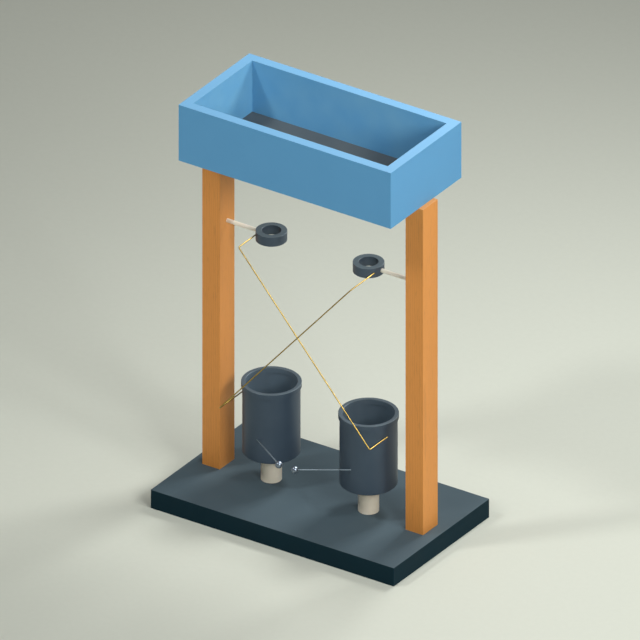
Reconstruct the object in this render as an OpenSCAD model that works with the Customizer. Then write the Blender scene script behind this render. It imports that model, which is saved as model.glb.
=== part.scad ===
// Kelvin water dropper. Water drips from one trough through two rings into two
// insulated cans. Each ring is wired to the opposite can, so charge builds up on
// both sides until a spark jumps between the two balls.
// +X runs to the right along the trough, +Y to the back and +Z up. The origin lies
// under the middle of the base. Lengths are in millimetres and angles in degrees.

/* [Base board] */
// How far the base runs past the posts at each end
base_margin = 12.5; // [6:0.5:40]
// Depth of the base from front to back
base_depth = 162; // [140:1:220]
// Thickness of the base
base_thickness = 20; // [14:1:32]
// Width of the small bevel along the edges of the wooden pieces
wood_bevel = 0.2; // [0.1:0.1:2]

/* [Posts] */
// Width of a post, seen from the front
post_width = 20; // [16:1:30]
// Depth of a post from front to back
post_depth = 25; // [18:1:40]
// Height of a post, from the base to the trough
post_height = 350; // [300:1:420]

/* [Trough] */
// Length of the trough over its walls
trough_length = 240; // [220:1:320]
// Depth of the trough from front to back over its walls
trough_depth = 120; // [90:1:160]
// Height of the trough over its walls
trough_height = 60; // [40:1:90]
// Thickness of the four walls
trough_wall = 10; // [8:0.5:14]
// Thickness of the floor
trough_floor_thickness = 5; // [3:0.5:8]
// Diameter of the two pins that locate the trough on the posts
trough_pin_diameter = 5; // [3:0.5:6]
// How far a pin stands up into the wall of the trough
trough_pin_rise = 8; // [5:0.5:12]
// How deep a pin is set in the top of its post
trough_pin_depth = 12; // [8:0.5:20]
// Length of the tapered nose of a pin
trough_pin_nose = 1; // [0.5:0.1:2]

/* [Cans] */
// Distance between the axes of the two cans, rings and taps
can_spacing = 110; // [90:1:140]
// Diameter of a can over its wall
can_diameter = 55; // [44:0.5:64]
// Height of a can
can_height = 75.2; // [55:0.1:100]
// Thickness of a can's wall and floor
can_wall = 2; // [1:0.1:3]
// Width of the flat hoop round the rim
rim_width = 3.9; // [3.4:0.1:5]
// Height of the hoop
rim_height = 5; // [3:0.1:8]
// How far the hoop stands out past the wall
rim_proud = 1.15; // [0.6:0.05:2]
// Bevel on the two upper edges of the hoop
rim_bevel = 0.3; // [0.1:0.1:0.8]

/* [Insulating stubs] */
// Diameter of the stub under a can
stub_diameter = 20; // [16:0.5:28]
// Height of a stub, from the base to the can
stub_height = 30; // [20:0.5:45]
// Diameter of the spigot that centres the can on its stub
spigot_diameter = 12; // [8:0.5:14]
// Height of that spigot
spigot_height = 8; // [5:0.5:12]
// Depth of the flat at the back of the spigot that keeps the can from turning on it
spigot_flat = 1.5; // [0.5:0.1:3]
// Width of the bevel on the edges of a stub
stub_bevel = 0.2; // [0.1:0.1:1.5]

/* [Rings] */
// Outer diameter of an inductor ring
ring_diameter = 30; // [26:0.5:40]
// Diameter of the hole that the drops fall through
ring_hole = 18.5; // [14:0.5:22]
// Height of a ring
ring_height = 10; // [8:0.5:16]
// Width of the bevel on the edges of a ring
ring_bevel = 0.2; // [0.1:0.1:1]
// Distance from the underside of the trough down to the middle of a ring
ring_drop = 87.5; // [60:0.5:130]
// Diameter of the insulating rod that carries a ring
rod_diameter = 4; // [3:0.5:6]
// How deep the rod is set in its post
rod_depth = 12; // [8:0.5:15]

/* [Leads] */
// Diameter of the stiff wire of both leads
lead_diameter = 1.2; // [1:0.1:2.4]
// How far in front of the rings the lead of the left ring crosses over
left_lead_reach = 37.5; // [36:0.5:44]
// How far in front of the rings the lead of the right ring crosses over
right_lead_reach = 48.8; // [46:0.5:60]
// Radius of the bends, on the middle of the wire
lead_bend = 1.5; // [1.3:0.1:6]
// Distance from a can's rim down to the place where the lead bears on it
contact_drop = 15.2; // [8:0.1:40]

/* [Spark gap] */
// Diameter of the spark balls
ball_diameter = 7; // [5:0.5:12]
// Gap between the two balls
spark_gap = 11; // [6:0.5:16]
// How far in front of the cans' axes the balls stand
ball_reach = 56.5; // [46:0.5:66]
// Angle from the front of a can round to its spark rod, towards the gap
spark_rod_turn = 5; // [0:0.5:15]
// Height of the spark rods above the bottom of the cans
spark_height = 25; // [8:0.5:50]
// Diameter of the spark rods
spark_rod_diameter = 1.2; // [0.8:0.1:2]
// How far a spark rod is set in its ball
ball_grip = 3; // [1.5:0.1:4]
// How far a spark rod runs on inside its can
spark_rod_tail = 1; // [0.5:0.1:3]

/* [Drip taps] */
// Diameter of the shank through the floor of the trough
tap_shank_diameter = 8; // [6:0.5:9]
// Size of the collar and the locknut across their flats
tap_hex = 13; // [12:0.5:17]
// Thickness of the collar and the locknut
tap_nut_thickness = 4; // [3:0.5:6]
// How far the shank stands out above the locknut
shank_show = 2; // [0.5:0.5:4]
// Diameter of the sealing washer under the floor
seal_diameter = 15; // [13:0.5:18]
// Thickness of the sealing washer
seal_thickness = 2; // [1:0.5:3]
// Diameter of the barrel
barrel_diameter = 11; // [10:0.5:14]
// Length of the barrel
barrel_length = 18; // [17:0.5:22]
// Width of the tap from the face under the lever to the face under the nut
tap_width = 16; // [14:0.5:22]
// Diameter of the boss that the plug turns in
boss_diameter = 9.6; // [8.6:0.1:12]
// Diameter of the plug
plug_diameter = 6; // [5:0.5:7]
// Diameter of the two ends of the plug, in the lever and in the nut
plug_end_diameter = 4; // [3:0.5:4.5]
// Diameter of the water way
water_way = 3; // [2:0.1:4]
// Length of the lever from the plug's axis to its round end
lever_length = 18; // [12:0.5:22]
// Width of the lever's arm
lever_width = 5; // [3:0.5:8]
// Thickness of the lever
lever_thickness = 3; // [2:0.5:5]
// Size of the plug's nut across its flats
plug_nut_hex = 7; // [6:0.5:9]
// Thickness of the plug's nut
plug_nut_thickness = 3; // [2:0.5:5]
// How far the plug stands out past its nut
plug_show = 1; // [0.5:0.1:2]
// Length of the jet below the barrel
jet_length = 12; // [8:0.5:16]
// Diameter of the jet at its shoulder
jet_shoulder_diameter = 7; // [6:0.5:9]
// Thickness of that shoulder
jet_shoulder = 2; // [1:0.5:4]
// Diameter of the jet at its tip
jet_tip_diameter = 2.4; // [1.8:0.1:4]
// Diameter of the hole that the drops leave by
jet_hole = 1.2; // [0.6:0.1:1.6]
// Length of that narrow hole
jet_hole_length = 4; // [2:0.5:6]
// Diameter of the jet's spigot in the barrel
jet_spigot_diameter = 5; // [4.2:0.1:6]
// Length of that spigot
jet_spigot = 4; // [2:0.5:5]
// Width of the bevel on the turned edges of the tap
tap_bevel = 0.4; // [0.2:0.1:0.8]

/* [Fasteners] */
// Diameter of the screws that hold the posts
wood_screw_diameter = 4; // [3:0.5:5]
// Diameter of their countersunk heads
wood_screw_head_diameter = 8; // [6.5:0.5:9]
// How deep they go into the posts
wood_screw_grip = 28; // [20:1:40]
// Diameter of the screws that the stubs turn on
pivot_diameter = 5; // [4:0.5:6]
// Diameter of their heads
pivot_head_diameter = 9; // [8:0.5:12]
// Thickness of their heads
pivot_head = 3; // [2:0.5:5]
// How deep they go into the stubs
pivot_grip = 14; // [8:0.5:18]
// Diameter of the spring washers under their heads
spring_washer_diameter = 10; // [9:0.5:13]
// Thickness of the spring washers
spring_washer = 1.2; // [0.8:0.1:2]
// Width of the split in the spring washers
spring_washer_split = 1; // [0.5:0.1:2]
// Depth to which the screw heads lie inside the underside of the base
screw_head_depth = 0.8; // [0.4:0.1:2]
// Width of the screwdriver slots
slot_width = 1.2; // [0.8:0.1:1.6]
// Depth of the screwdriver slots
slot_depth = 1.2; // [0.8:0.1:1.6]
// Angle at which the corners of the hexagons are turned off
hexagon_chamfer = 30; // [15:1:40]
// Round face of a hexagon as a share of its size across flats
hexagon_face = 0.95; // [0.85:0.01:0.99]

/* [Fits] */
// Radial clearance where a piece turns or slides off
running_clearance = 0.06; // [0.02:0.01:0.1]
// Radial clearance where a piece is glued, pressed or screwed in
fixed_clearance = 0.02; // [0.01:0.01:0.05]
// Space left at the bottom of a blind hole
hole_end_space = 0.5; // [0.2:0.1:1]
// Space round the pivot screws' heads and washers
head_space = 1; // [0.5:0.1:2]
// Gap between the filed tip of a lead and the can that it bears on
contact_gap = 0.3; // [0.2:0.05:0.6]

/* [Hidden] */
$fn = 96;

// Cutting tools run this far past the faces that they open.
past = 1;

// The posts stand under the middle of the trough's end walls.
post_x = trough_length / 2 - trough_wall / 2;
post_inner_x = post_x - post_width / 2;
base_length = 2 * (post_x + post_width / 2 + base_margin);
deck_z = base_thickness + post_height;
wood_screw_y = post_depth / 4;
wood_screw_cone = (wood_screw_head_diameter - wood_screw_diameter) / 2;
wood_screw_tip = 1.5 * wood_screw_diameter;

// The stub turns on a screw whose head lies in a counterbore under the base.
can_x = can_spacing / 2;
can_radius = can_diameter / 2;
can_inner_radius = can_radius - can_wall;
can_z = base_thickness + stub_height;
counterbore_depth = spring_washer + pivot_head + screw_head_depth;
counterbore_radius = max(spring_washer_diameter, pivot_head_diameter) / 2 + head_space;
flat_y = spigot_diameter / 2 - spigot_flat;
socket_radius = spigot_diameter / 2 + running_clearance;
socket_height = spigot_height + hole_end_space;

// The wire of a lead leaves its ring from the middle of the ring's wall.
ring_z = deck_z - ring_drop;
ring_radius = ring_diameter / 2;
ring_wall = ring_radius - ring_hole / 2;
rod_reach_in_ring = ring_wall / 2;
lead_radius = lead_diameter / 2;
lead_root_offset = ring_radius - ring_wall / 2;
lead_root_y = rod_diameter / 2 + lead_radius;
contact_z = can_z + can_height - contact_drop;
contact_offset = can_radius - lead_diameter;

// The spark rod runs level from the front of its can to the ball beside the gap.
ball_radius = ball_diameter / 2;
ball_offset = can_x - spark_gap / 2 - ball_radius;
spark_root = can_radius * [sin(spark_rod_turn), cos(spark_rod_turn)];
spark_way = [ball_offset, ball_reach] - spark_root;
spark_run = norm(spark_way);
spark_angle = atan2(spark_way.y, spark_way.x);
wall_slant = spark_root * spark_way / spark_run;
through_wall = wall_slant - sqrt(wall_slant ^ 2 - can_radius ^ 2 + can_inner_radius ^ 2);

// Heights of the tap's pieces, measured up from the underside of the trough
collar_z = -seal_thickness - tap_nut_thickness;
barrel_z = collar_z - barrel_length;
plug_z = collar_z - barrel_length / 2;
locknut_top = trough_floor_thickness + tap_nut_thickness;

// Corners of a rectangle round the origin with its corners cut off
function bevelled_outline(width, height, bevel) = [
    for (quarter = [[1, 1], [-1, 1], [-1, -1], [1, -1]])
        let (corner = [quarter.x * width / 2, quarter.y * height / 2])
        let (along = [corner - [quarter.x * bevel, 0], corner - [0, quarter.y * bevel]])
        each quarter.x * quarter.y > 0 ? [along[1], along[0]] : along
];

// Diameter over the corners of a hexagon
function over_corners(across_flats) = across_flats / cos(30);

// A board on the ground plane with all its edges bevelled
module bevelled_board(size, bevel) {
    intersection() {
        linear_extrude(size.z)
            polygon(bevelled_outline(size.x, size.y, bevel));
        translate([0, size.y / 2, size.z / 2])
            rotate([90, 0, 0])
                linear_extrude(size.y)
                    polygon(bevelled_outline(size.x, size.z, bevel));
        translate([-size.x / 2, 0, size.z / 2])
            rotate([90, 0, 90])
                linear_extrude(size.x)
                    polygon(bevelled_outline(size.y, size.z, bevel));
    }
}

// A cylinder that starts at the origin and runs along +Y
module along_y(radius, length) {
    rotate([-90, 0, 0])
        cylinder(r = radius, h = length);
}

// A hexagonal prism on the ground plane with its corners turned off at both ends
module hexagon(across_flats, thickness) {
    face_radius = hexagon_face * across_flats / 2;
    middle_radius = face_radius + thickness / 2 / tan(hexagon_chamfer);
    intersection() {
        cylinder(d = over_corners(across_flats), h = thickness, $fn = 6);
        rotate_extrude()
            polygon([
                [0, 0],
                [face_radius, 0],
                [middle_radius, thickness / 2],
                [face_radius, thickness],
                [0, thickness]
            ]);
    }
}

// A nut, flat on the ground plane
module nut(across_flats, thickness, hole_radius) {
    difference() {
        hexagon(across_flats, thickness);
        translate([0, 0, -past])
            cylinder(r = hole_radius, h = thickness + 2 * past);
    }
}

// A flat ring on the ground plane
module washer(diameter, hole_radius, thickness) {
    difference() {
        cylinder(d = diameter, h = thickness);
        translate([0, 0, -past])
            cylinder(r = hole_radius, h = thickness + 2 * past);
    }
}

// The right-hand piece as it is modelled, or its mirror image on the left
module on_side(side) {
    if (side == "left")
        mirror([1, 0, 0])
            children();
    else
        children();
}

// Both places of a pair
module both_sides() {
    children();
    mirror([1, 0, 0])
        children();
}

// The places of the two screws under the right-hand post
module at_post_screws() {
    for (y = [-wood_screw_y, wood_screw_y])
        translate([post_x, y, 0])
            children();
}

// A countersunk screw, point up, with its shape widened by a clearance
module wood_screw_form(clearance) {
    head_radius = wood_screw_head_diameter / 2 + clearance;
    shank_radius = wood_screw_diameter / 2 + clearance;
    shank_top = base_thickness + wood_screw_grip - wood_screw_tip;
    translate([0, 0, screw_head_depth])
        cylinder(r1 = head_radius, r2 = shank_radius, h = wood_screw_cone);
    translate([0, 0, screw_head_depth + wood_screw_cone])
        cylinder(r = shank_radius, h = shank_top - screw_head_depth - wood_screw_cone);
    translate([0, 0, shank_top])
        cylinder(r1 = shank_radius, r2 = shank_radius / 4, h = wood_screw_tip);
}

module screw_slot(length) {
    translate([-length / 2, -slot_width / 2, -past])
        cube([length, slot_width, slot_depth + past]);
}

module base_board() {
    color("#465258")
        difference() {
            bevelled_board([base_length, base_depth, base_thickness], wood_bevel);
            both_sides() {
                at_post_screws() {
                    wood_screw_form(fixed_clearance);
                    translate([0, 0, -past])
                        cylinder(
                            r = wood_screw_head_diameter / 2 + fixed_clearance,
                            h = past + screw_head_depth
                        );
                }
                translate([can_x, 0, -past]) {
                    cylinder(r = counterbore_radius, h = counterbore_depth + past);
                    cylinder(r = pivot_diameter / 2 + running_clearance, h = base_thickness + 2 * past);
                }
            }
        }
}

// A square batten, drilled for its screws, its ring rod and its trough pin
module post() {
    color("#b87a3f")
        difference() {
            translate([post_x, 0, base_thickness])
                linear_extrude(post_height)
                    polygon(bevelled_outline(post_width, post_depth, wood_bevel));
            at_post_screws()
                wood_screw_form(fixed_clearance);
            translate([post_inner_x - past, 0, ring_z])
                rotate([0, 90, 0])
                    cylinder(r = rod_diameter / 2 + fixed_clearance, h = past + rod_depth);
            translate([post_x, 0, deck_z - trough_pin_depth])
                cylinder(r = trough_pin_diameter / 2 + fixed_clearance, h = trough_pin_depth + past);
        }
}

module left_post() {
    on_side("left")
        post();
}

module right_post() {
    on_side("right")
        post();
}

module post_screws() {
    color("silver")
        both_sides()
            at_post_screws()
                difference() {
                    wood_screw_form(0);
                    translate([0, 0, screw_head_depth])
                        screw_slot(wood_screw_head_diameter);
                }
}

module trough_pins() {
    radius = trough_pin_diameter / 2;
    length = trough_pin_depth + trough_pin_rise;
    color("silver")
        both_sides()
            translate([post_x, 0, deck_z - trough_pin_depth])
                rotate_extrude()
                    polygon([
                        [0, 0],
                        [radius, 0],
                        [radius, length - trough_pin_nose],
                        [radius - trough_pin_nose / 2, length],
                        [0, length]
                    ]);
}

module trough_front_wall() {
    color("#4f85aa")
        translate([-trough_length / 2, -trough_depth / 2, deck_z])
            cube([trough_length, trough_wall, trough_height]);
}

module trough_back_wall() {
    color("#4f85aa")
        translate([-trough_length / 2, trough_depth / 2 - trough_wall, deck_z])
            cube([trough_length, trough_wall, trough_height]);
}

// An end wall stands between the two long walls and is drilled for its pin.
module trough_end_wall() {
    inner_depth = trough_depth - 2 * trough_wall;
    color("#4f85aa")
        difference() {
            translate([trough_length / 2 - trough_wall, -inner_depth / 2, deck_z])
                cube([trough_wall, inner_depth, trough_height]);
            translate([post_x, 0, deck_z - past])
                cylinder(
                    r = trough_pin_diameter / 2 + running_clearance,
                    h = past + trough_pin_rise + hole_end_space
                );
        }
}

module trough_left_wall() {
    on_side("left")
        trough_end_wall();
}

module trough_right_wall() {
    on_side("right")
        trough_end_wall();
}

module trough_floor() {
    floor_length = trough_length - 2 * trough_wall;
    floor_depth = trough_depth - 2 * trough_wall;
    color("#525960")
        difference() {
            translate([-floor_length / 2, -floor_depth / 2, deck_z])
                cube([floor_length, floor_depth, trough_floor_thickness]);
            both_sides()
                translate([can_x, 0, deck_z - past])
                    cylinder(
                        r = tap_shank_diameter / 2 + fixed_clearance,
                        h = trough_floor_thickness + 2 * past
                    );
        }
}

// The right-hand tap's own origin, on the underside of the trough
module at_tap() {
    translate([can_x, 0, deck_z])
        children();
}

// Shank, collar and barrel with a cross boss, bored for the water and the plug
module tap_body() {
    shank_top = locknut_top + shank_show;
    shank_radius = tap_shank_diameter / 2;
    barrel_radius = barrel_diameter / 2;
    boss_radius = boss_diameter / 2;
    color("#b8923c")
        at_tap()
            difference() {
                union() {
                    rotate_extrude()
                        polygon([
                            [0, barrel_z],
                            [barrel_radius - tap_bevel, barrel_z],
                            [barrel_radius, barrel_z + tap_bevel],
                            [barrel_radius, collar_z],
                            [shank_radius, collar_z],
                            [shank_radius, shank_top - tap_bevel],
                            [shank_radius - tap_bevel, shank_top],
                            [0, shank_top]
                        ]);
                    translate([0, 0, collar_z])
                        hexagon(tap_hex, tap_nut_thickness);
                    translate([0, 0, plug_z])
                        rotate([90, 0, 0])
                            rotate_extrude()
                                polygon([
                                    [0, -tap_width / 2],
                                    [boss_radius - tap_bevel, -tap_width / 2],
                                    [boss_radius, tap_bevel - tap_width / 2],
                                    [boss_radius, tap_width / 2 - tap_bevel],
                                    [boss_radius - tap_bevel, tap_width / 2],
                                    [0, tap_width / 2]
                                ]);
                }
                translate([0, 0, barrel_z])
                    cylinder(d = water_way, h = shank_top - barrel_z + past);
                translate([0, 0, barrel_z - past])
                    cylinder(
                        r = jet_spigot_diameter / 2 + fixed_clearance,
                        h = past + jet_spigot + hole_end_space
                    );
                translate([0, -tap_width / 2 - past, plug_z])
                    along_y(plug_diameter / 2 + running_clearance, tap_width + 2 * past);
            }
}

module left_tap_body() {
    on_side("left")
        tap_body();
}

module right_tap_body() {
    on_side("right")
        tap_body();
}

module tap_seals() {
    color("#202020")
        both_sides()
            at_tap()
                translate([0, 0, -seal_thickness])
                    washer(seal_diameter, tap_shank_diameter / 2 + fixed_clearance, seal_thickness);
}

module tap_locknuts() {
    color("#b8923c")
        both_sides()
            at_tap()
                translate([0, 0, trough_floor_thickness])
                    nut(tap_hex, tap_nut_thickness, tap_shank_diameter / 2 + fixed_clearance);
}

// A turned nozzle whose water way narrows to the drip hole
module jet() {
    water_radius = water_way / 2;
    hole_radius = jet_hole / 2;
    spigot_radius = jet_spigot_diameter / 2;
    shoulder_radius = jet_shoulder_diameter / 2;
    hole_top = jet_hole_length - jet_length;
    color("#b8923c")
        at_tap()
            translate([0, 0, barrel_z])
                rotate_extrude()
                    polygon([
                        [water_radius, jet_spigot],
                        [spigot_radius, jet_spigot],
                        [spigot_radius, 0],
                        [shoulder_radius, 0],
                        [shoulder_radius, -jet_shoulder],
                        [jet_tip_diameter / 2, -jet_length],
                        [hole_radius, -jet_length],
                        [hole_radius, hole_top],
                        [water_radius, hole_top + water_radius - hole_radius]
                    ]);
}

module left_jet() {
    on_side("left")
        jet();
}

module right_jet() {
    on_side("right")
        jet();
}

// The plug is shut at rest: its port lies across the water way.
module tap_plug() {
    back_end = plug_nut_thickness + plug_show;
    color("#d0b060")
        at_tap()
            translate([0, 0, plug_z])
                difference() {
                    union() {
                        translate([0, -tap_width / 2, 0])
                            along_y(plug_diameter / 2, tap_width);
                        translate([0, -tap_width / 2 - lever_thickness, 0])
                            along_y(plug_end_diameter / 2, lever_thickness + tap_width + back_end);
                    }
                    translate([-plug_diameter / 2 - past, 0, 0])
                        rotate([0, 90, 0])
                            cylinder(d = water_way, h = plug_diameter + 2 * past);
                }
}

module left_tap_plug() {
    on_side("left")
        tap_plug();
}

module right_tap_plug() {
    on_side("right")
        tap_plug();
}

// The lever points outwards at rest and hangs in line with the jet when open.
module tap_lever() {
    color("#b8923c")
        at_tap()
            translate([0, -tap_width / 2 - lever_thickness, plug_z])
                difference() {
                    union() {
                        along_y(boss_diameter / 2, lever_thickness);
                        translate([0, 0, -lever_width / 2])
                            cube([lever_length - lever_width / 2, lever_thickness, lever_width]);
                        translate([lever_length - lever_width / 2, 0, 0])
                            along_y(lever_width / 2, lever_thickness);
                    }
                    translate([0, -past, 0])
                        along_y(plug_end_diameter / 2 + fixed_clearance, lever_thickness + 2 * past);
                }
}

module left_tap_lever() {
    on_side("left")
        tap_lever();
}

module right_tap_lever() {
    on_side("right")
        tap_lever();
}

module plug_nut() {
    color("#b8923c")
        at_tap()
            translate([0, tap_width / 2, plug_z])
                rotate([-90, 0, 0])
                    nut(plug_nut_hex, plug_nut_thickness, plug_end_diameter / 2 + fixed_clearance);
}

module left_plug_nut() {
    on_side("left")
        plug_nut();
}

module right_plug_nut() {
    on_side("right")
        plug_nut();
}

// A ring, drilled from the outer side for its rod and from the front for its lead
module ring() {
    color("#3d4852")
        translate([can_x, 0, ring_z])
            difference() {
                rotate_extrude()
                    translate([ring_radius - ring_wall / 2, 0])
                        polygon(bevelled_outline(ring_wall, ring_height, ring_bevel));
                translate([ring_radius - rod_reach_in_ring, 0, 0])
                    rotate([0, 90, 0])
                        cylinder(r = rod_diameter / 2 + fixed_clearance, h = rod_reach_in_ring + past);
                translate([lead_root_offset, -ring_radius, 0])
                    along_y(lead_radius + fixed_clearance, ring_radius - lead_root_y);
            }
}

module left_ring() {
    on_side("left")
        ring();
}

module right_ring() {
    on_side("right")
        ring();
}

module ring_rod() {
    rod_start = can_x + ring_radius - rod_reach_in_ring;
    color("#d3c6b0")
        translate([rod_start, 0, ring_z])
            rotate([0, 90, 0])
                cylinder(d = rod_diameter, h = post_inner_x + rod_depth - rod_start);
}

module left_ring_rod() {
    on_side("left")
        ring_rod();
}

module right_ring_rod() {
    on_side("right")
        ring_rod();
}

// A lead from the right ring to the left can. Its two legs run straight back, so the
// whole wire lies in one sloping plane, with x along the slope and y along the legs.
// The tip of the far leg is filed to the curve of the can.
module lead(reach) {
    run = 2 * can_x + lead_root_offset + contact_offset;
    fall = ring_z - contact_z;
    span = norm([run, fall]);
    color("#b8923c")
        difference() {
            translate([can_x + lead_root_offset, -reach, ring_z])
                mirror([1, 0, 0])
                    rotate([0, atan2(fall, run), 0]) {
                        translate([lead_bend, 0, 0])
                            rotate([0, 90, 0])
                                cylinder(r = lead_radius, h = span - 2 * lead_bend);
                        translate([0, lead_bend, 0])
                            along_y(lead_radius, reach - lead_root_y - lead_bend);
                        translate([span, lead_bend, 0])
                            along_y(lead_radius, reach - lead_bend);
                        translate([lead_bend, lead_bend, 0])
                            rotate([0, 0, 180])
                                wire_bend();
                        translate([span - lead_bend, lead_bend, 0])
                            rotate([0, 0, 270])
                                wire_bend();
                    }
            translate([-can_x, 0, can_z])
                cylinder(r = can_radius + contact_gap, h = can_height);
        }
}

// A quarter turn of wire round the origin, from +x to +y
module wire_bend() {
    rotate_extrude(angle = 90)
        translate([lead_bend, 0])
            circle(r = lead_radius);
}

module left_lead() {
    on_side("left")
        lead(left_lead_reach);
}

module right_lead() {
    on_side("right")
        lead(right_lead_reach);
}

// A turned insulator with a keyed spigot for the can and a hole for its screw
module stub() {
    radius = stub_diameter / 2;
    spigot_radius = spigot_diameter / 2;
    spigot_top = stub_height + spigot_height;
    color("#d3c6b0")
        translate([can_x, 0, base_thickness])
            difference() {
                rotate_extrude()
                    polygon([
                        [0, 0],
                        [radius - stub_bevel, 0],
                        [radius, stub_bevel],
                        [radius, stub_height - stub_bevel],
                        [radius - stub_bevel, stub_height],
                        [spigot_radius, stub_height],
                        [spigot_radius, spigot_top - stub_bevel],
                        [spigot_radius - stub_bevel, spigot_top],
                        [0, spigot_top]
                    ]);
                translate([-radius, flat_y, stub_height])
                    cube([stub_diameter, radius, spigot_height + past]);
                translate([0, 0, -past])
                    cylinder(
                        r = pivot_diameter / 2 + fixed_clearance,
                        h = past + pivot_grip + hole_end_space
                    );
            }
}

module left_stub() {
    on_side("left")
        stub();
}

module right_stub() {
    on_side("right")
        stub();
}

module pivot_screw() {
    color("silver")
        translate([can_x, 0, screw_head_depth])
            difference() {
                union() {
                    cylinder(d = pivot_head_diameter, h = pivot_head);
                    cylinder(d = pivot_diameter, h = base_thickness + pivot_grip - screw_head_depth);
                }
                screw_slot(pivot_head_diameter);
            }
}

module left_pivot_screw() {
    on_side("left")
        pivot_screw();
}

module right_pivot_screw() {
    on_side("right")
        pivot_screw();
}

// A spring washer, split at the front
module pivot_washer() {
    color("silver")
        translate([can_x, 0, screw_head_depth + pivot_head])
            difference() {
                washer(spring_washer_diameter, pivot_diameter / 2 + fixed_clearance, spring_washer);
                translate([-spring_washer_split / 2, -spring_washer_diameter, -past])
                    cube([spring_washer_split, spring_washer_diameter, spring_washer + 2 * past]);
            }
}

module left_pivot_washer() {
    on_side("left")
        pivot_washer();
}

module right_pivot_washer() {
    on_side("right")
        pivot_washer();
}

// A drawn can: the floor is pushed up into a socket over the stub's spigot and its
// flat, and a flat hoop stiffens the rim.
module can() {
    rim_radius = can_radius + rim_proud;
    rim_inner_radius = rim_radius - rim_width;
    rim_z = can_height - rim_height;
    boss_radius = socket_radius + can_wall;
    boss_top = socket_height + can_wall;
    color("#3d4852")
        translate([can_x, 0, can_z])
            difference() {
                union() {
                    rotate_extrude()
                        polygon([
                            [socket_radius, 0],
                            [can_radius - can_wall / 2, 0],
                            [can_radius, can_wall / 2],
                            [can_radius, rim_z],
                            [rim_radius, rim_z],
                            [rim_radius, can_height - rim_bevel],
                            [rim_radius - rim_bevel, can_height],
                            [rim_inner_radius + rim_bevel, can_height],
                            [rim_inner_radius, can_height - rim_bevel],
                            [rim_inner_radius, rim_z],
                            [can_inner_radius, rim_z],
                            [can_inner_radius, can_wall],
                            [boss_radius, can_wall],
                            [boss_radius, boss_top],
                            [0, boss_top],
                            [0, socket_height],
                            [socket_radius, socket_height]
                        ]);
                    intersection() {
                        cylinder(r = boss_radius - can_wall / 2, h = socket_height + can_wall / 2);
                        translate([-boss_radius, flat_y + running_clearance, 0])
                            cube([2 * boss_radius, boss_radius, boss_top]);
                    }
                }
                spark_rod_form(fixed_clearance);
            }
}

module left_can() {
    on_side("left")
        can();
}

module right_can() {
    on_side("right")
        can();
}

// The spark rod about its can's axis, with its shape widened by a clearance
module spark_rod_form(clearance) {
    inside = through_wall + spark_rod_tail;
    translate([-spark_root.x, -spark_root.y, spark_height])
        rotate([0, 0, 180 + spark_angle])
            translate([-inside, 0, 0])
                rotate([0, 90, 0])
                    cylinder(
                        r = spark_rod_diameter / 2 + clearance,
                        h = inside + spark_run - ball_radius + ball_grip
                    );
}

module spark_rod() {
    color("silver")
        translate([can_x, 0, can_z])
            spark_rod_form(0);
}

module left_spark_rod() {
    on_side("left")
        spark_rod();
}

module right_spark_rod() {
    on_side("right")
        spark_rod();
}

module spark_ball() {
    color("silver")
        translate([can_x, 0, can_z])
            difference() {
                translate([-ball_offset, -ball_reach, spark_height])
                    sphere(r = ball_radius);
                spark_rod_form(fixed_clearance);
            }
}

module left_spark_ball() {
    on_side("left")
        spark_ball();
}

module right_spark_ball() {
    on_side("right")
        spark_ball();
}

base_board();
left_post();
right_post();
post_screws();
trough_pins();
trough_front_wall();
trough_back_wall();
trough_left_wall();
trough_right_wall();
trough_floor();
left_tap_body();
right_tap_body();
tap_seals();
tap_locknuts();
left_jet();
right_jet();
left_tap_plug();
right_tap_plug();
left_tap_lever();
right_tap_lever();
left_plug_nut();
right_plug_nut();
left_ring();
right_ring();
left_ring_rod();
right_ring_rod();
left_lead();
right_lead();
left_stub();
right_stub();
left_pivot_screw();
right_pivot_screw();
left_pivot_washer();
right_pivot_washer();
left_can();
right_can();
left_spark_rod();
right_spark_rod();
left_spark_ball();
right_spark_ball();
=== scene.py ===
"""Looks of the kelvin water dropper: finishes for its pieces, a paper floor, soft light and the camera."""
import math

import bpy
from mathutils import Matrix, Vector


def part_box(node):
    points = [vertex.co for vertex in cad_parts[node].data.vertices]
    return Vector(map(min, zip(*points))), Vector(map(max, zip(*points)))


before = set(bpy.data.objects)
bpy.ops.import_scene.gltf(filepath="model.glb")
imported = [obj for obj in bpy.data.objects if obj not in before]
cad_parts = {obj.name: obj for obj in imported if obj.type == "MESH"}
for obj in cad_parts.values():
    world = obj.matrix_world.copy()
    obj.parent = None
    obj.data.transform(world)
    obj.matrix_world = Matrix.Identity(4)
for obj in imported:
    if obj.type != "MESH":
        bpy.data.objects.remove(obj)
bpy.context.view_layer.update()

MM = 0.001


def linear(hex_colour):
    """Linear RGBA of an sRGB hex colour."""
    parts = [int(hex_colour[i:i + 2], 16) / 255 for i in (1, 3, 5)]
    return [c / 12.92 if c <= 0.04045 else ((c + 0.055) / 1.055) ** 2.4 for c in parts] + [1.0]


def per(size_mm):
    """Scale of a pattern whose features are this many millimetres across, on places in metres."""
    return 1 / (size_mm * MM)


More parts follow.
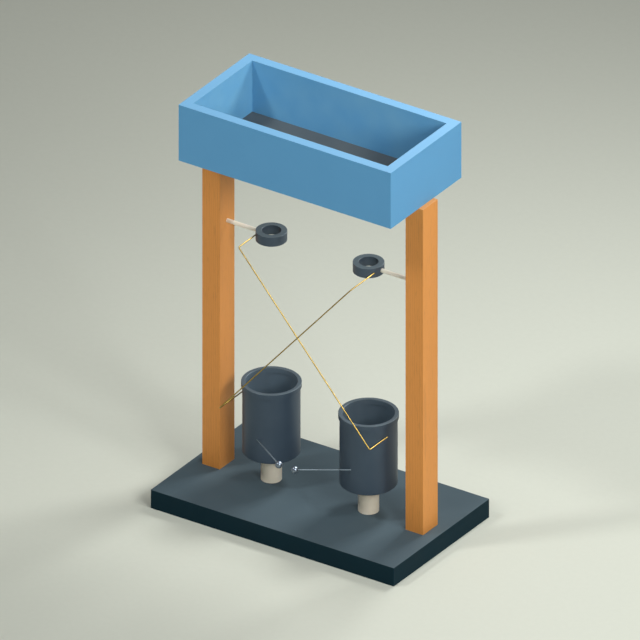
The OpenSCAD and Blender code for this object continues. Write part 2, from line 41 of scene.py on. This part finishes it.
def finish(name, build):
    """A material. The build function is given the function that adds a node and the place on the piece, and
    gives back the shader's inputs."""
    material = bpy.data.materials.new(name)
    material.use_nodes = True
    tree = material.node_tree
    tree.nodes.clear()

    def add(kind, inputs, **settings):
        """One node with its settings and links. An input takes a value, an output, or a node, which stands
        for its first output in use."""
        made = tree.nodes.new(kind)
        for setting, value in settings.items():
            setattr(made, setting, value)
        in_use = [socket for socket in made.inputs if socket.enabled]
        for key, value in inputs.items():
            socket = in_use[key] if isinstance(key, int) else next(s for s in in_use if s.name == key)
            if isinstance(value, bpy.types.Node):
                value = next(s for s in value.outputs if s.enabled)
            if isinstance(value, bpy.types.NodeSocket):
                tree.links.new(value, socket)
            else:
                socket.default_value = value
        return made

    place = add("ShaderNodeTexCoord", {}).outputs["Object"]
    shader = add("ShaderNodeBsdfPrincipled", build(add, place))
    add("ShaderNodeOutputMaterial", {"Surface": shader})
    return material


def rolled_slate_paint(add, place):
    """Flat paint rolled on a board: slate grey, hardly shiny, over fine orange peel. The two faces are
    painted much paler than the sawn edges: a painted sheen of light on the top."""
    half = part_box("base_board")[1].z / 2
    height = add("ShaderNodeSeparateXYZ", {"Vector": place}).outputs["Z"]
    from_middle = add("ShaderNodeMath", {0: height, 1: half}, operation="SUBTRACT")
    from_middle = add("ShaderNodeMath", {0: from_middle}, operation="ABSOLUTE")
    # The painted sheen of a face fades out between 0.1 and 0.5 mm round the corner.
    sheen_mask = add("ShaderNodeMapRange", {
        "Value": from_middle, "From Min": half - 0.5 * MM, "From Max": half - 0.1 * MM})
    coats = add("ShaderNodeTexNoise", {"Vector": place, "Scale": per(40)})
    # Orange peel is 1 mm across. It is drawn at twice that to show.
    peel = add("ShaderNodeTexNoise", {"Vector": place, "Scale": per(2)})
    # The paler slate of the faces is a painted sheen of light.
    faces_painted_sheen = add("ShaderNodeMix", {
        "Factor": coats, "A": linear("#4b5c64"), "B": linear("#53646c")}, data_type="RGBA")
    edges = add("ShaderNodeMix", {
        "Factor": coats, "A": linear("#0a2630"), "B": linear("#0c2b36")}, data_type="RGBA")
    return {
        "Base Color": add("ShaderNodeMix", {"Factor": sheen_mask, "A": edges, "B": faces_painted_sheen}, data_type="RGBA"),
        "Roughness": add("ShaderNodeMapRange", {"Value": coats, "To Min": 0.55, "To Max": 0.68}),
        "IOR": 1.5,
        "Specular IOR Level": 0.1,
        "Normal": add("ShaderNodeBump", {"Height": peel, "Distance": 0.06 * MM, "Strength": 0.3}),
    }


def oiled_cherry(add, place):
    """Cherry battens, planed and oiled: yearly rings round a heart far outside the batten run up it as
    faint bands, with short dark pores and a low sheen."""
    drawn_out = add("ShaderNodeMapping", {"Vector": place, "Scale": (1, 1, 0.05)})
    wander = add("ShaderNodeTexNoise", {"Vector": drawn_out, "Scale": per(25), "Detail": 3})
    level = add("ShaderNodeVectorMath", {0: place, 1: (1, 1, 0)}, operation="MULTIPLY")
    from_heart = add("ShaderNodeVectorMath", {0: level}, operation="LENGTH")
    # A year's growth is 2.5 mm wide. The rings wander by up to three years.
    years = add("ShaderNodeMath", {0: from_heart, 1: per(2.5)}, operation="MULTIPLY")
    years = add("ShaderNodeMath", {0: wander, 1: 3, 2: years}, operation="MULTIPLY_ADD")
    late_wood = add("ShaderNodeMath", {0: years}, operation="FRACT")
    # Pores are 0.1 mm wide. They are drawn at 0.8 mm to show.
    fibres = add("ShaderNodeMapping", {"Vector": place, "Scale": (1, 1, 0.06)})
    pores = add("ShaderNodeTexNoise", {"Vector": fibres, "Scale": per(0.8)})
    dark = add("ShaderNodeMapRange", {
        "Value": pores, "From Min": 0.3, "From Max": 0.42, "To Min": 0.3, "To Max": 0})
    wood = add("ShaderNodeMix", {
        "Factor": late_wood, "A": linear("#e89b4c"), "B": linear("#de9243")}, data_type="RGBA")
    return {
        "Base Color": add("ShaderNodeMix", {
            "Factor": dark, "A": wood, "B": linear("#b5773a")}, data_type="RGBA"),
        "Roughness": add("ShaderNodeMapRange", {"Value": late_wood, "To Min": 0.6, "To Max": 0.5}),
        "IOR": 1.5,
        "Normal": add("ShaderNodeBump", {"Height": pores, "Distance": 0.08 * MM, "Strength": 0.25}),
    }


def sheet_pvc(dark, pale, rim_sheen, painted_inside_light):
    """Calendered PVC sheet: even colour and a silky skin of fine pebbles. The sawn rim is painted paler, as
    a painted sheen of light on its top, and the faces inside the basin are painted paler in patches, as
    painted light for the light that reaches into it."""
    half_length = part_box("trough_right_wall")[0].x
    half_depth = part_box("trough_back_wall")[0].y
    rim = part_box("trough_back_wall")[1].z

    def build(add, place):
        # A face that holds water lies no more than 0.2 mm outside the basin, and the rim in the top 0.1 mm.
        across = add("ShaderNodeVectorMath", {0: place}, operation="ABSOLUTE")
        inwards = add("ShaderNodeVectorMath", {
            0: (half_length + 0.2 * MM, half_depth + 0.2 * MM, 0), 1: across}, operation="SUBTRACT")
        inwards = add("ShaderNodeSeparateXYZ", {"Vector": inwards})
        inside_basin = add("ShaderNodeMath", {0: inwards.outputs["X"], 1: inwards.outputs["Y"]}, operation="MINIMUM")
        inside_basin = add("ShaderNodeMath", {0: inside_basin, 1: 0}, operation="GREATER_THAN")
        height = add("ShaderNodeSeparateXYZ", {"Vector": place}).outputs["Z"]
        # The rim in the top 0.1 mm is painted paler: a painted sheen of light on its top.
        rim_mask = add("ShaderNodeMath", {0: height, 1: rim - 0.1 * MM}, operation="GREATER_THAN")
        haze = add("ShaderNodeTexNoise", {"Vector": place, "Scale": per(30)})
        # The skin's pebbles are 0.4 mm across. They are drawn three times as wide to show.
        pebbles = add("ShaderNodeTexNoise", {"Vector": place, "Scale": per(1.2)})
        sheet = add("ShaderNodeMix", {
            "Factor": haze, "A": linear(dark), "B": linear(pale)}, data_type="RGBA")
        sheet = add("ShaderNodeMix", {"Factor": rim_mask, "A": sheet, "B": linear(rim_sheen)}, data_type="RGBA")
        # Painted light: the faces inside the basin are painted paler in patches, to lighten the walls and
        # floor that the basin shades.
        paler_share = add("ShaderNodeMapRange", {
            "Value": haze, "From Min": 0.2, "From Max": 0.8, "To Min": 0.08, "To Max": 0.26})
        paler_share = add("ShaderNodeMath", {0: paler_share, 1: inside_basin}, operation="MULTIPLY")
        return {
            "Base Color": add("ShaderNodeMix", {
                "Factor": paler_share, "A": sheet, "B": linear(painted_inside_light)}, data_type="RGBA"),
            "Roughness": add("ShaderNodeMapRange", {"Value": haze, "To Min": 0.42, "To Max": 0.54}),
            "IOR": 1.53,
            "Normal": add("ShaderNodeBump", {"Height": pebbles, "Distance": 0.03 * MM, "Strength": 0.25}),
        }
    return build


def blackened_steel(dark, pale, top_sheen, grain, painted_light_radius, sheen_height):
    """Steel blackened in hot salts and waxed: a blue-grey satin with the lines of drawing or turning left
    under it. Inside the painted light radius round the axis of a can it is painted paler, as painted light
    in the shaded can, and above the sheen height it is painted paler too, as a painted sheen of light on
    the top."""
    low_corner, high_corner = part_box("right_can")
    can_x = (low_corner.x + high_corner.x) / 2

    def build(add, place):
        part = add("ShaderNodeSeparateXYZ", {"Vector": place})
        sideways = add("ShaderNodeMath", {0: part.outputs["X"]}, operation="ABSOLUTE")
        sideways = add("ShaderNodeMath", {0: sideways, 1: can_x}, operation="SUBTRACT")
        from_axis = add("ShaderNodeCombineXYZ", {"X": sideways, "Y": part.outputs["Y"]})
        from_axis = add("ShaderNodeVectorMath", {0: from_axis}, operation="LENGTH")
        inside_light_mask = add("ShaderNodeMath", {0: from_axis, 1: painted_light_radius}, operation="LESS_THAN")
        # The painted light inside stops above the underside of a can, which stays black.
        above = add("ShaderNodeMath", {
            0: part.outputs["Z"], 1: low_corner.z + MM}, operation="GREATER_THAN")
        inside_light_mask = add("ShaderNodeMath", {0: inside_light_mask, 1: above}, operation="MULTIPLY")
        cloud = add("ShaderNodeTexNoise", {"Vector": place, "Scale": per(18)})
        # Tool marks are 0.3 mm apart. They are drawn five times as wide to show.
        drawn_out = add("ShaderNodeMapping", {"Vector": place, "Scale": grain})
        marks = add("ShaderNodeTexNoise", {"Vector": drawn_out, "Scale": per(1.5)})
        # Painted sheen: above the sheen height the steel is painted paler, for light on the can's rim and
        # the ring's top face.
        painted_top_sheen = add("ShaderNodeMapRange", {
            "Value": part.outputs["Z"],
            "From Min": sheen_height - 0.2 * MM, "From Max": sheen_height + 0.2 * MM})
        black = add("ShaderNodeMix", {
            "Factor": cloud, "A": linear(dark), "B": linear(pale)}, data_type="RGBA")
        # Painted light: inside a can the steel is painted paler, to lighten the inner wall that the can
        # shades.
        black = add("ShaderNodeMix", {
            "Factor": inside_light_mask, "A": black, "B": linear("#718491")}, data_type="RGBA")
        return {
            "Base Color": add("ShaderNodeMix", {
                "Factor": painted_top_sheen, "A": black, "B": linear(top_sheen)}, data_type="RGBA"),
            "Metallic": 0.3,
            "Roughness": add("ShaderNodeMapRange", {"Value": marks, "To Min": 0.4, "To Max": 0.52}),
            "Normal": add("ShaderNodeBump", {"Height": marks, "Distance": 0.02 * MM, "Strength": 0.2}),
        }
    return build


def natural_nylon(dark, pale, grain):
    """Cast nylon, turned or extruded: cream, a little translucent, with soft lines along its length."""
    def build(add, place):
        drawn_out = add("ShaderNodeMapping", {"Vector": place, "Scale": grain})
        lines = add("ShaderNodeTexNoise", {"Vector": drawn_out, "Scale": per(2.5)})
        return {
            "Base Color": add("ShaderNodeMix", {
                "Factor": lines, "A": linear(dark), "B": linear(pale)}, data_type="RGBA"),
            "Roughness": add("ShaderNodeMapRange", {"Value": lines, "To Min": 0.38, "To Max": 0.52}),
            "IOR": 1.53,
            "Subsurface Weight": 0.1,
            "Subsurface Radius": (2 * MM, 1.5 * MM, 1 * MM),
            "Normal": add("ShaderNodeBump", {"Height": lines, "Distance": 0.02 * MM, "Strength": 0.2}),
        }
    return build


def worked_brass(bright, tarnished, grain, mark_mm, smooth, rough):
    """Brass, drawn through a die or turned: yellow and bright, with marks of working and a first breath of
    tarnish."""
    def build(add, place):
        tarnish = add("ShaderNodeTexNoise", {"Vector": place, "Scale": per(8), "Detail": 3})
        drawn_out = add("ShaderNodeMapping", {"Vector": place, "Scale": grain})
        marks = add("ShaderNodeTexNoise", {"Vector": drawn_out, "Scale": per(mark_mm)})
        return {
            "Base Color": add("ShaderNodeMix", {
                "Factor": tarnish, "A": linear(bright), "B": linear(tarnished)}, data_type="RGBA"),
            "Metallic": 1.0,
            "Roughness": add("ShaderNodeMapRange", {"Value": marks, "To Min": smooth, "To Max": rough}),
            "Normal": add("ShaderNodeBump", {"Height": marks, "Distance": 0.01 * MM, "Strength": 0.2}),
        }
    return build


def polished_steel(dark, pale, smooth, rough):
    """Steel, polished or plated: a thin bright skin with faint cloudy patches."""
    def build(add, place):
        cloud = add("ShaderNodeTexNoise", {"Vector": place, "Scale": per(4), "Detail": 3})
        return {
            "Base Color": add("ShaderNodeMix", {
                "Factor": cloud, "A": linear(dark), "B": linear(pale)}, data_type="RGBA"),
            "Metallic": 1.0,
            "Roughness": add("ShaderNodeMapRange", {"Value": cloud, "To Min": smooth, "To Max": rough}),
        }
    return build


def moulded_rubber(add, place):
    """Moulded nitrile rubber: black and dull with a greyish bloom."""
    paler_share = add("ShaderNodeTexNoise", {"Vector": place, "Scale": per(3), "Detail": 3})
    return {
        "Base Color": add("ShaderNodeMix", {
            "Factor": paler_share, "A": linear("#1a1a1b"), "B": linear("#2a2a2b")}, data_type="RGBA"),
        "Roughness": add("ShaderNodeMapRange", {"Value": paler_share, "To Min": 0.75, "To Max": 0.9}),
        "IOR": 1.52,
    }


def studio_paper(add, place):
    """Seamless paper off a roll: pale grey-green and matt, with a faint cloud of fibres."""
    fibres = add("ShaderNodeTexNoise", {"Vector": place, "Scale": per(6), "Detail": 3})
    return {
        "Base Color": add("ShaderNodeMix", {
            "Factor": fibres, "A": linear("#d1d5c8"), "B": linear("#d5d9cc")}, data_type="RGBA"),
        "Roughness": 0.9,
        "IOR": 1.45,
        "Specular IOR Level": 0.2,
    }


# How fast a pattern runs along each axis: even, or as grain that runs up, along X, or round in level lines.
EVEN = (1, 1, 1)
UP = (1, 1, 0.04)
ALONG_X = (0.04, 1, 1)
LEVEL = (0.04, 0.04, 1)

can_low, can_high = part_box("right_can")
# The rim of a can stands 1.15 mm proud of its 2 mm wall. This radius ends 0.15 mm outside the inner face.
# Inside this radius a can's steel gets painted light.
can_inside = (can_high.y - can_low.y) / 2 - 3 * MM
# Above these heights the can's rim and the ring's top face get a painted sheen.
can_rim = can_high.z - 0.4 * MM
ring_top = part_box("right_ring")[1].z - 0.3 * MM

slate_paint = finish("slate_paint_rolled_on_board", rolled_slate_paint)
cherry = finish("cherry_planed_and_oiled", oiled_cherry)
blue_pvc = finish("blue_pvc_calendered_sheet", sheet_pvc(
    "#579dcd", "#5ea3d2", rim_sheen="#74afd8", painted_inside_light="#a8d6d4"))
grey_pvc = finish("grey_pvc_calendered_sheet", sheet_pvc(
    "#5c605f", "#626665", rim_sheen="#626665", painted_inside_light="#868a88"))
drawn_can = finish("blackened_steel_drawn", blackened_steel(
    "#3e4e5e", "#465666", top_sheen="#54636c", grain=UP, painted_light_radius=can_inside, sheen_height=can_rim))
turned_ring = finish("blackened_steel_turned", blackened_steel(
    "#435261", "#4b5a69", top_sheen="#5c6c74", grain=LEVEL, painted_light_radius=0, sheen_height=ring_top))
turned_nylon = finish("natural_nylon_turned", natural_nylon("#f9eed6", "#fdf3de", grain=UP))
nylon_rod = finish("natural_nylon_extruded", natural_nylon("#faf2e0", "#fdf7e8", grain=ALONG_X))
# Bending by hand leaves duller patches 6 mm long on the wire.
brass_wire = finish("brass_drawn_wire", worked_brass(
    "#bfa356", "#b0944b", grain=EVEN, mark_mm=6, smooth=0.31, rough=0.35))
# Lines of turning are 0.1 mm apart. They are drawn five times as wide to show.
brass_fitting = finish("brass_turned", worked_brass(
    "#d9b45c", "#c79c48", grain=LEVEL, mark_mm=0.5, smooth=0.17, rough=0.3))
ball_steel = finish("steel_ball_polished_and_blued", polished_steel(
    "#8894a2", "#909caa", smooth=0.34, rough=0.42))
rod_steel = finish("steel_drawn_rod", polished_steel("#9cadb9", "#a8b8c3", smooth=0.35, rough=0.5))
zinc = finish("zinc_plate_on_steel", polished_steel("#a9afb4", "#bcc1c4", smooth=0.26, rough=0.42))
rubber = finish("nitrile_rubber_moulded", moulded_rubber)
paper = finish("studio_paper_matt", studio_paper)

wears = {
    slate_paint: ["base_board"],
    cherry: ["left_post", "right_post"],
    blue_pvc: ["trough_front_wall", "trough_back_wall", "trough_left_wall", "trough_right_wall"],
    grey_pvc: ["trough_floor"],
    drawn_can: ["left_can", "right_can"],
    turned_ring: ["left_ring", "right_ring"],
    turned_nylon: ["left_stub", "right_stub"],
    nylon_rod: ["left_ring_rod", "right_ring_rod"],
    brass_wire: ["left_lead", "right_lead"],
    brass_fitting: [
        "left_tap_body", "right_tap_body", "tap_locknuts", "left_jet", "right_jet", "left_tap_plug",
        "right_tap_plug", "left_tap_lever", "right_tap_lever", "left_plug_nut", "right_plug_nut"],
    ball_steel: ["left_spark_ball", "right_spark_ball"],
    rod_steel: ["left_spark_rod", "right_spark_rod"],
    zinc: [
        "post_screws", "trough_pins", "left_pivot_screw", "right_pivot_screw", "left_pivot_washer",
        "right_pivot_washer"],
    rubber: ["tap_seals"],
}
for material, names in wears.items():
    for name in names:
        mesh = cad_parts[name].data
        mesh.materials.clear()
        mesh.materials.append(material)


def paper_floor(half_width, half_depth):
    """A flat sheet of paper under the object, in a grid of panels."""
    steps = 12
    corners = [
        (half_width * (2 * i / steps - 1), half_depth * (2 * j / steps - 1), 0)
        for j in range(steps + 1) for i in range(steps + 1)]
    row = steps + 1
    panels = [
        (j * row + i, j * row + i + 1, (j + 1) * row + i + 1, (j + 1) * row + i)
        for j in range(steps) for i in range(steps)]
    mesh = bpy.data.meshes.new("paper_floor")
    mesh.from_pydata(corners, [], panels)
    mesh.materials.append(paper)
    sheet = bpy.data.objects.new("paper_floor", mesh)
    bpy.context.scene.collection.objects.link(sheet)
    return sheet


paper_floor(half_width=4, half_depth=4)

middle = Vector((0, 0, 0.2))


def soft_light(name, azimuth, elevation, distance, size, power):
    """A square soft box that faces the middle. Its azimuth runs from +X towards +Y, in degrees."""
    lamp = bpy.data.lights.new(name, "AREA")
    lamp.shape = "SQUARE"
    lamp.size = size
    lamp.energy = power
    box = bpy.data.objects.new(name, lamp)
    turn, tilt = math.radians(azimuth), math.radians(elevation)
    way = Vector((math.cos(tilt) * math.cos(turn), math.cos(tilt) * math.sin(turn), math.sin(tilt)))
    box.location = middle + distance * way
    box.rotation_euler = (-way).to_track_quat("-Z", "Y").to_euler()
    bpy.context.scene.collection.objects.link(box)
    return box


soft_light("right_softbox", azimuth=-9, elevation=40, distance=1.15, size=0.25, power=3.4)
soft_light("front_softbox", azimuth=-126, elevation=51.5, distance=1.7, size=0.2, power=7.5)
soft_light("back_softbox", azimuth=77, elevation=52, distance=0.9, size=0.25, power=4.95)
soft_light("low_softbox", azimuth=-30, elevation=28, distance=2.1, size=0.6, power=15.6)
# A pale card for the bright metal to mirror. It shows in reflections only.
mirror_card = soft_light("mirror_card", azimuth=72, elevation=35, distance=1.6, size=0.9, power=24)
mirror_card.visible_diffuse = False

world = bpy.data.worlds.new("studio_room")
bpy.context.scene.world = world
world.use_nodes = True
room = world.node_tree.nodes["Background"]
room.inputs["Color"].default_value = (1, 1, 1, 1)
room.inputs["Strength"].default_value = 0.18

# The photograph is a parallel view from the front right, from the direction (2, -3, 2), 0.6026 m wide.
lens = bpy.data.cameras.new("camera")
lens.type = "ORTHO"
lens.ortho_scale = 0.6026
camera = bpy.data.objects.new("camera", lens)
aim = Vector((0, 0, 0.20747))
towards = Vector((2, -3, 2)).normalized()
camera.location = aim + towards * 3
camera.rotation_euler = (-towards).to_track_quat("-Z", "Y").to_euler()
bpy.context.scene.collection.objects.link(camera)
bpy.context.scene.camera = camera
bpy.context.scene.view_settings.view_transform = "Standard"
